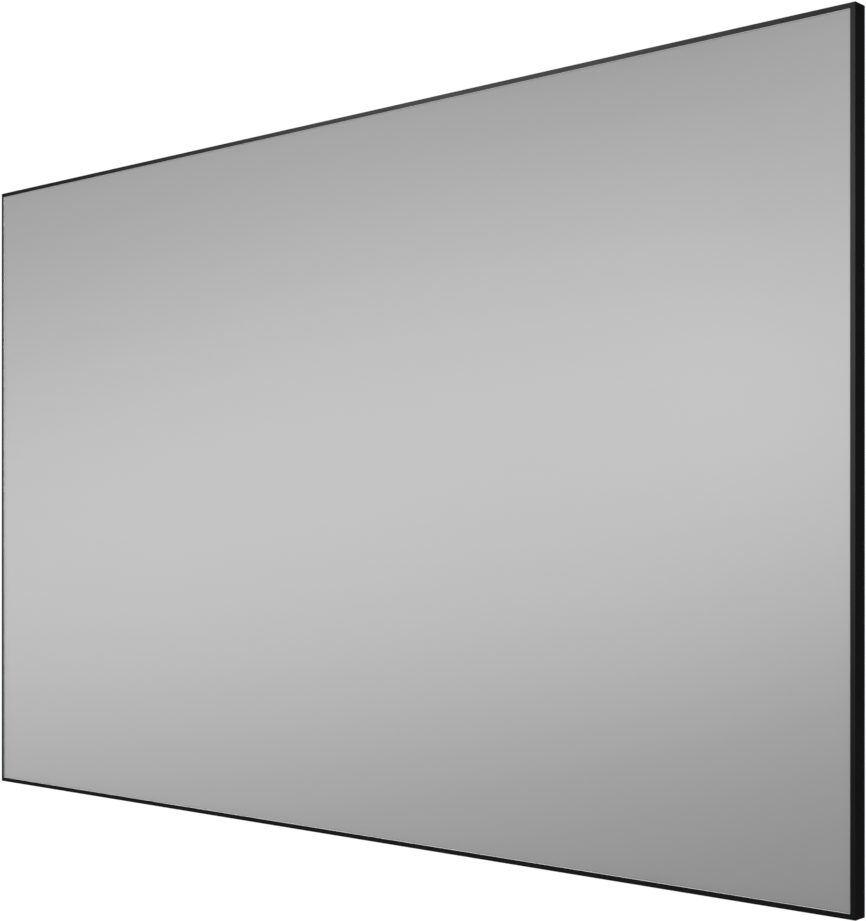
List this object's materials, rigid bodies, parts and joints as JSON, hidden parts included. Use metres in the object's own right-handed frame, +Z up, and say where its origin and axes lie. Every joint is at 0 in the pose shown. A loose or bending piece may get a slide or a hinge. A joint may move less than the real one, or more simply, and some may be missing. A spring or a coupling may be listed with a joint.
{
  "type": "fixed frame projector screen",
  "caption": "Flat wall screen: grey cloth stretched by rods and springs over an aluminium frame, with a thin black mitred trim and steel wall brackets.",
  "frame": {"origin": "centre of the box round the whole screen with its wall brackets", "axes": "+X to the viewer's right along the width, +Y from the viewer to the wall, +Z up"},
  "size_m": [2.173, 0.0322, 1.365],
  "materials": {
    "black_trim": "satin black anodised aluminium with a bare cut edge next to the picture",
    "screen_cloth": "mid-grey optical coating with a broad soft gloss, black backing",
    "rail_aluminium": "mill finish extrusion with fine lines along it",
    "bar_aluminium": "mill finish tube",
    "zinc_plate": "bright zinc plated",
    "black_screws": "black oxide",
    "spring_steel": "nickel plated springs on white glass fibre rods",
    "bracket_steel": "black powder coat"
  },
  "bodies": {
    "root": {"trim_top_left": "black_trim", "rail_top_left": "rail_aluminium", "tension_rod_top_left": "spring_steel", "trim_top_right": "black_trim", "rail_top_right": "rail_aluminium", "tension_rod_top_right": "spring_steel", "trim_bottom_left": "black_trim", "rail_bottom_left": "rail_aluminium", "tension_rod_bottom_left": "spring_steel", "trim_bottom_right": "black_trim", "rail_bottom_right": "rail_aluminium", "tension_rod_bottom_right": "spring_steel", "trim_left": "black_trim", "rail_left": "rail_aluminium", "tension_rod_left": "spring_steel", "trim_right": "black_trim", "rail_right": "rail_aluminium", "tension_rod_right": "spring_steel", "wall_bracket_top_left": "bracket_steel", "elbow_top_left": "zinc_plate", "wall_bracket_top_right": "bracket_steel", "elbow_top_right": "zinc_plate", "wall_bracket_bottom_left": "bracket_steel", "elbow_bottom_left": "zinc_plate", "wall_bracket_bottom_right": "bracket_steel", "elbow_bottom_right": "zinc_plate", "joint_plate_top": "zinc_plate", "bar_bracket_top": "zinc_plate", "bar_screw_top_1": "black_screws", "bar_screw_top_2": "black_screws", "bar_screw_top_3": "black_screws", "bar_screw_top_4": "black_screws", "joint_plate_bottom": "zinc_plate", "bar_bracket_bottom": "zinc_plate", "bar_screw_bottom_1": "black_screws", "bar_screw_bottom_2": "black_screws", "bar_screw_bottom_3": "black_screws", "bar_screw_bottom_4": "black_screws", "support_bar": "bar_aluminium", "screen_cloth": "screen_cloth"}
  },
  "joints": []
}
